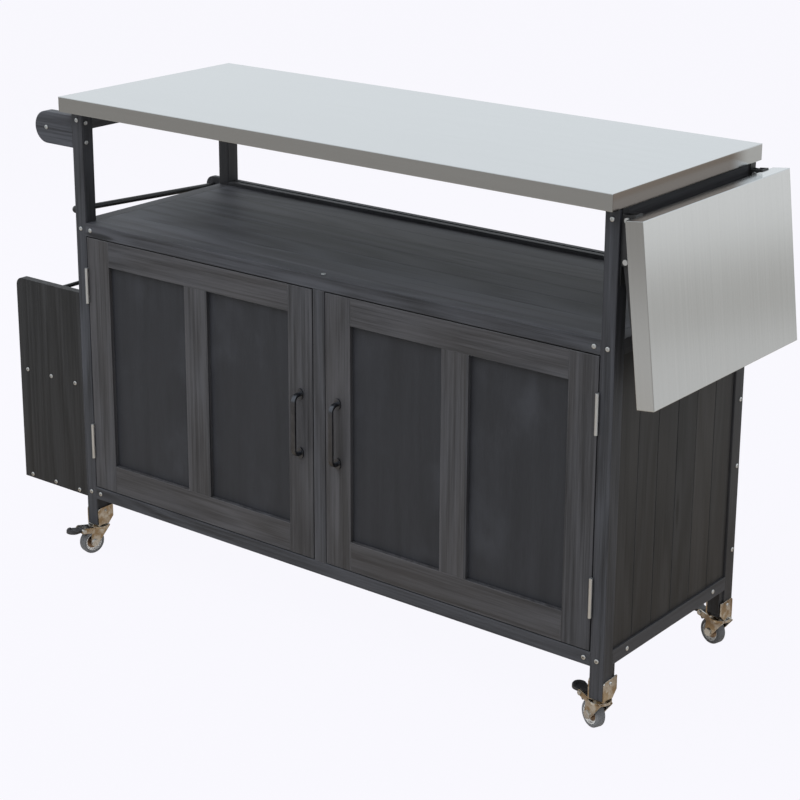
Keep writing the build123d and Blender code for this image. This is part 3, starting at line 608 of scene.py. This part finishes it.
def add_screw_head(shape, seat, out, radius, height):
    """Pan head with a cross recess, standing on its seat."""
    rings = []
    for share, rise in HEAD_PROFILE:
        made = bmesh.ops.create_circle(shape, radius=radius * share, segments=HEAD_SIDES)
        bmesh.ops.translate(shape, verts=made["verts"], vec=(0, 0, height * rise))
        rings.append(made["verts"])
    arm = radius * RECESS_ARM
    wide = radius * RECESS_HALF_WIDTH
    quarter = [Vector(spot) for spot in ((arm, -wide, height), (arm, wide, height), (wide, wide, height))]
    outline = []
    for turn in range(4):
        spin = Matrix.Rotation(turn * math.pi / 2, 3, "Z")
        outline += [spin @ spot for spot in quarter]
    cross = [shape.verts.new(spot) for spot in outline]
    sunk = Vector((0, 0, height * RECESS_DEPTH))
    floor = [shape.verts.new(spot - sunk) for spot in outline]
    loops = [*rings, cross, floor]
    for ring in (cross, floor):
        for first, second in zip(ring, ring[1:] + ring[:1]):
            shape.edges.new((first, second))
    for lower, upper in zip(loops, loops[1:]):
        edges = {edge for ring in (lower, upper) for corner in ring for edge in corner.link_edges
                 if edge.other_vert(corner) in ring}
        bmesh.ops.bridge_loops(shape, edges=list(edges))
    shape.faces.new(floor)
    shape.faces.new(rings[0])
    corners = [corner for ring in loops for corner in ring]
    turned = out.to_track_quat("Z", "Y").to_matrix().to_4x4()
    bmesh.ops.transform(shape, matrix=Matrix.Translation(seat) @ turned, verts=corners)


def screw_heads():
    shape = bmesh.new()
    for seat in screw_seats():
        add_screw_head(shape, *seat)
    bmesh.ops.recalc_face_normals(shape, faces=shape.faces)
    mesh = bpy.data.meshes.new("screw_heads")
    shape.to_mesh(mesh)
    shape.free()
    mesh.materials.append(finish_of("frame_screws"))
    piece = bpy.data.objects.new("screw_heads", mesh)
    bpy.context.scene.collection.objects.link(piece)
    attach(piece, "cart")
    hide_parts("frame_screws")


middle = sum(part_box("worktop_skin"), Vector()) / 2
lowest_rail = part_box("long_rails")[0].z
screw_heads()


# Studio


def stage_piece(name, shape, material):
    mesh = bpy.data.meshes.new(name)
    shape.to_mesh(mesh)
    shape.free()
    mesh.materials.append(material)
    piece = bpy.data.objects.new(name, mesh)
    bpy.context.scene.collection.objects.link(piece)
    piece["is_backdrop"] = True


def seen_directly(finish):
    """1 for what the camera, a mirror or a glass sees."""
    kinds = ("Is Camera Ray", "Is Glossy Ray", "Is Transmission Ray")
    camera_ray, glossy_ray, glass_ray = [finish.node("ShaderNodeLightPath", {}, {}, kind) for kind in kinds]
    return finish.math("MINIMUM", camera_ray + glossy_ray + glass_ray, 1.0)


def mirrored_floor(finish):
    """Floor colour that only the bright metal picks up."""
    x, y, _ = finish.place()
    far = finish.math("SQRT", x * x + y * y)
    behind = finish.mix(finish.band(far, 3.6, 4.2), MIRROR_GREY, MIRROR_BAND)
    behind = finish.mix(finish.band(far, 4.7, 6.6), behind, MIRROR_FAR)
    ahead = finish.mix(finish.band(far, 1.9, 3.2), MIRROR_FRONT, MIRROR_FRONT_FAR)
    beyond = finish.mix(finish.band(y, -0.6, 0.6), ahead, behind)
    patch = finish.noise(finish.vector(x * 9.0, y * 9.0, 0.0), 2.0, 0.5)
    near = finish.mix(finish.band(patch, 0.48, 0.66), MIRROR_BROWN, MIRROR_CREAM)
    near = finish.mix(1.0 - finish.band(patch, 0.34, 0.46), near, MIRROR_DEEP)
    return finish.mix(finish.band(far, 0.9, 1.9), near, beyond)


def pale_floor():
    finish = Finish("pale_floor")
    plain = (FLOOR_DIFFUSE, FLOOR_DIFFUSE, FLOOR_DIFFUSE, 1.0)
    matt = finish.node("ShaderNodeBsdfDiffuse", {}, {"Color": plain})
    glossy = finish.node("ShaderNodeLightPath", {}, {}, "Is Glossy Ray")
    tone = finish.mix(glossy, STUDIO_WHITE, mirrored_floor(finish))
    glow = finish.node("ShaderNodeEmission", {}, {"Color": tone, "Strength": 1.0})
    share = seen_directly(finish) * FLOOR_GLOW
    finish.output(finish.node("ShaderNodeMixShader", {}, {0: share, 1: matt, 2: glow}))
    shape = bmesh.new()
    bmesh.ops.create_circle(shape, cap_ends=True, radius=FLOOR_RADIUS, segments=FLOOR_SIDES)
    stage_piece("floor", shape, finish.holder)


def studio_world():
    world = bpy.data.worlds.new("studio")
    bpy.context.scene.world = world
    finish = Finish("studio", world)
    plain = (*PLAIN_LIGHT, 1.0)
    around = finish.node("ShaderNodeBackground", {}, {"Color": plain, "Strength": AMBIENT})
    glossy = finish.node("ShaderNodeLightPath", {}, {}, "Is Glossy Ray")
    tone = finish.mix(glossy, STUDIO_WHITE, STUDIO_MIRROR)
    seen = finish.node("ShaderNodeBackground", {}, {"Color": tone, "Strength": 1.0})
    share = seen_directly(finish)
    finish.output(finish.node("ShaderNodeMixShader", {}, {0: share, 1: around, 2: seen}))


def softbox(name, place, aim, size, power, tint):
    """Rectangular lamp, unseen in mirrors, turned towards the point it lights."""
    light = bpy.data.lights.new(name, "AREA")
    light.shape = "RECTANGLE"
    light.size, light.size_y = size
    light.energy = power
    light.color = tint
    lamp = bpy.data.objects.new(name, light)
    lamp.location = place
    lamp.rotation_mode = "QUATERNION"
    lamp.rotation_quaternion = (Vector(aim) - Vector(place)).to_track_quat("-Z", "Y")
    lamp.visible_glossy = False
    bpy.context.scene.collection.objects.link(lamp)


pale_floor()
studio_world()
body = (middle.x, middle.y, AIM_HEIGHT)
shelf_left = (-0.4, 0.0, 0.67)
front_left_post = (-0.6, -0.2, 0.76)
softbox("key_softbox", (-0.7, -3.4, 4.5), aim=body, size=(3.2, 2.2), power=144.0, tint=COOL_LIGHT)
softbox("top_softbox", (0.0, -0.9, 3.6), aim=body, size=(3.0, 2.0), power=66.0, tint=PLAIN_LIGHT)
softbox("left_softbox", (-3.0, 0.5, 1.9), aim=shelf_left, size=(1.6, 1.2), power=75.0, tint=COOL_LIGHT)
softbox("back_softbox", (0.35, 2.6, 0.95), aim=front_left_post, size=(1.2, 0.8), power=8.0, tint=COOL_LIGHT)
softbox("side_softbox", (3.4, 0.4, 2.6), aim=body, size=(2.0, 2.0), power=4.0, tint=WARM_LIGHT)

camera_data = bpy.data.cameras.new("camera")
camera_data.lens = CAMERA_LENS
camera_data.sensor_width = CAMERA_SENSOR
camera_data.shift_y = CAMERA_SHIFT
camera = bpy.data.objects.new("camera", camera_data)
bpy.context.scene.collection.objects.link(camera)
camera_place = Vector((middle.x, middle.y, 0.0)) + CAMERA_PLACE
upright = Matrix.Rotation(CAMERA_TURN, 4, "Z") @ Matrix.Rotation(math.pi / 2 + CAMERA_TILT, 4, "X")
camera.matrix_world = Matrix.Translation(camera_place) @ upright @ Matrix.Rotation(CAMERA_ROLL, 4, "Z")
bpy.context.scene.camera = camera
bpy.context.scene.view_settings.view_transform = "Standard"

visual_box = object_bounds()
boxes = {"cad": cad_box, "visual": visual_box}
{name: [list(corner) for corner in box] for name, box in boxes.items()}
